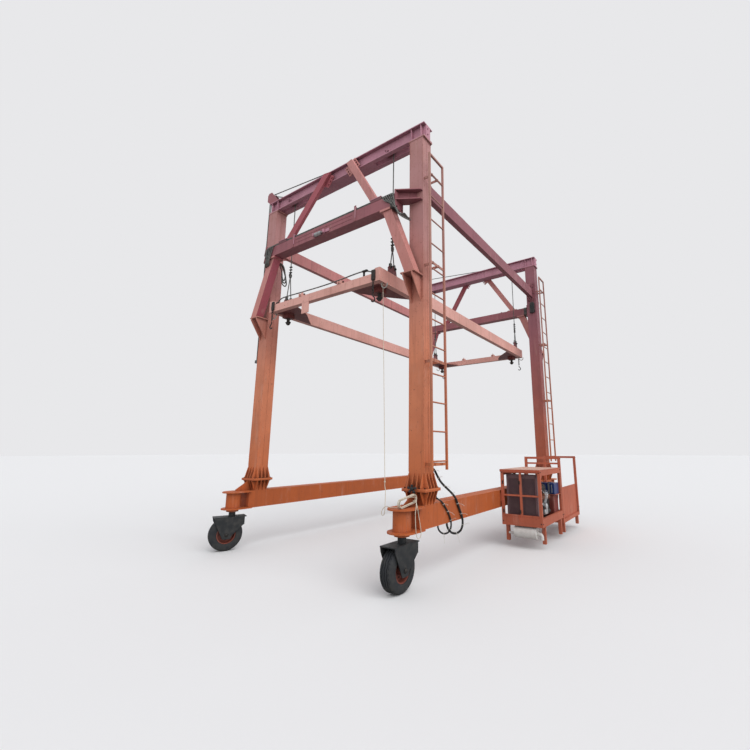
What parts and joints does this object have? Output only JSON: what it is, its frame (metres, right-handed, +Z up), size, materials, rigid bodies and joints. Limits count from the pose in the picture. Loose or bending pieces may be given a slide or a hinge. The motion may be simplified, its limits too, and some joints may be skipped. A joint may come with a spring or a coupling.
{
  "type": "rubber tyred gantry crane",
  "caption": "Steel gantry crane on swivelling rubber wheels, with a rope-hung lifting frame for freight boxes and a power pack on one sill.",
  "frame": {"origin": "on the ground under the middle of the whole crane's box", "axes": "+X towards the power pack's side, +Y along the crane from the near portal to the far one, +Z up"},
  "size_m": [4.945, 7.24, 7.325],
  "materials": {
    "orange_paint": "weathered",
    "faded_paint": "weathered",
    "dark_paint": "weathered",
    "black_paint": "satin",
    "blue_paint": "gloss",
    "bare_steel": "worn",
    "wire_rope": "greasy",
    "tyre": "matte",
    "engine": "oily",
    "cord_fibre": "matte",
    "hose_rubber": "satin"
  },
  "bodies": {
    "crane": {"leg_near_left": "orange_paint", "leg_near_right": "orange_paint", "leg_far_left": "orange_paint", "leg_far_right": "orange_paint", "sill_left": "orange_paint", "sill_right": "orange_paint", "top_beams": "faded_paint", "cross_beams": "faded_paint", "corner_stubs": "faded_paint", "struts": "faded_paint", "knee_braces": "faded_paint", "tie_beams": "faded_paint", "rope_turns": "wire_rope", "rope_sheaves": "dark_paint", "hauling_ropes": "wire_rope", "hoist_ropes": "wire_rope", "ladders": "bare_steel", "pack_frame": "orange_paint", "pack_roof": "orange_paint", "pack_radiator": "engine", "pack_engine": "engine", "pack_tank": "blue_paint", "pack_reservoir": "dark_paint", "pack_muffler": "bare_steel", "deck_frame": "orange_paint", "deck_panels": "orange_paint", "hose_fittings": "bare_steel", "hose_front": "hose_rubber", "hose_back": "hose_rubber", "pull_rope": "cord_fibre", "rope_knot": "cord_fibre", "rope_lead": "cord_fibre", "rope_hank": "cord_fibre", "rope_bight": "cord_fibre"},
    "lifting_frame": {"frame_side_beams": "orange_paint", "frame_end_beams": "orange_paint", "frame_corners": "dark_paint", "frame_lugs": "dark_paint", "slings": "wire_rope"},
    "fork_near_left": {"fork_near_left": "black_paint"},
    "wheel_near_left": {"rim_near_left": "orange_paint", "tyre_near_left": "tyre"},
    "lock_near_left": {"lock_near_left": "bare_steel"},
    "fork_near_right": {"fork_near_right": "black_paint"},
    "wheel_near_right": {"rim_near_right": "orange_paint", "tyre_near_right": "tyre"},
    "lock_near_right": {"lock_near_right": "bare_steel"},
    "fork_far_left": {"fork_far_left": "black_paint"},
    "wheel_far_left": {"rim_far_left": "orange_paint", "tyre_far_left": "tyre"},
    "lock_far_left": {"lock_far_left": "bare_steel"},
    "fork_far_right": {"fork_far_right": "black_paint"},
    "wheel_far_right": {"rim_far_right": "orange_paint", "tyre_far_right": "tyre"},
    "lock_far_right": {"lock_far_right": "bare_steel"}
  },
  "joints": [
    {"name": "hoist", "type": "slide", "parent": "crane", "child": "lifting_frame", "axis": [0, 0, 1], "range_m": [-1.55, 0.45], "deforming": ["hoist_ropes", "pull_rope"]},
    {"name": "steer_near_left", "type": "hinge", "parent": "crane", "child": "fork_near_left", "pos_m": [-2.1325, -3.27, 0.62], "axis": [0, 0, 1], "range_deg": [-90, 90]},
    {"name": "roll_near_left", "type": "hinge", "parent": "fork_near_left", "child": "wheel_near_left", "pos_m": [-2.16247, -3.34417, 0.27], "axis": [0.9272, -0.3746, 0], "continuous": true},
    {"name": "turn_near_left", "type": "hinge", "parent": "lifting_frame", "child": "lock_near_left", "pos_m": [-1.402, -2.9265, 4.2], "axis": [0, 0, -1], "range_deg": [0, 90]},
    {"name": "steer_near_right", "type": "hinge", "parent": "crane", "child": "fork_near_right", "pos_m": [1.5875, -3.27, 0.62], "axis": [0, 0, 1], "range_deg": [-90, 90]},
    {"name": "roll_near_right", "type": "hinge", "parent": "fork_near_right", "child": "wheel_near_right", "pos_m": [1.5875, -3.35, 0.27], "axis": [1, 0, 0], "continuous": true},
    {"name": "turn_near_right", "type": "hinge", "parent": "lifting_frame", "child": "lock_near_right", "pos_m": [0.857, -2.9265, 4.2], "axis": [0, 0, 1], "range_deg": [0, 90]},
    {"name": "steer_far_left", "type": "hinge", "parent": "crane", "child": "fork_far_left", "pos_m": [-2.1325, 3.27, 0.62], "axis": [0, 0, 1], "range_deg": [-90, 90]},
    {"name": "roll_far_left", "type": "hinge", "parent": "fork_far_left", "child": "wheel_far_left", "pos_m": [-2.1325, 3.35, 0.27], "axis": [1, 0, 0], "continuous": true},
    {"name": "turn_far_left", "type": "hinge", "parent": "lifting_frame", "child": "lock_far_left", "pos_m": [-1.402, 2.9265, 4.2], "axis": [0, 0, 1], "range_deg": [0, 90]},
    {"name": "steer_far_right", "type": "hinge", "parent": "crane", "child": "fork_far_right", "pos_m": [1.5875, 3.27, 0.62], "axis": [0, 0, 1], "range_deg": [-90, 90]},
    {"name": "roll_far_right", "type": "hinge", "parent": "fork_far_right", "child": "wheel_far_right", "pos_m": [1.5875, 3.35, 0.27], "axis": [1, 0, 0], "continuous": true},
    {"name": "turn_far_right", "type": "hinge", "parent": "lifting_frame", "child": "lock_far_right", "pos_m": [0.857, 2.9265, 4.2], "axis": [0, 0, -1], "range_deg": [0, 90]}
  ],
  "couplings": [
    {"joint": "turn_near_right", "follows": "turn_near_left", "ratio": 1},
    {"joint": "turn_far_left", "follows": "turn_near_left", "ratio": 1},
    {"joint": "turn_far_right", "follows": "turn_near_left", "ratio": 1}
  ]
}
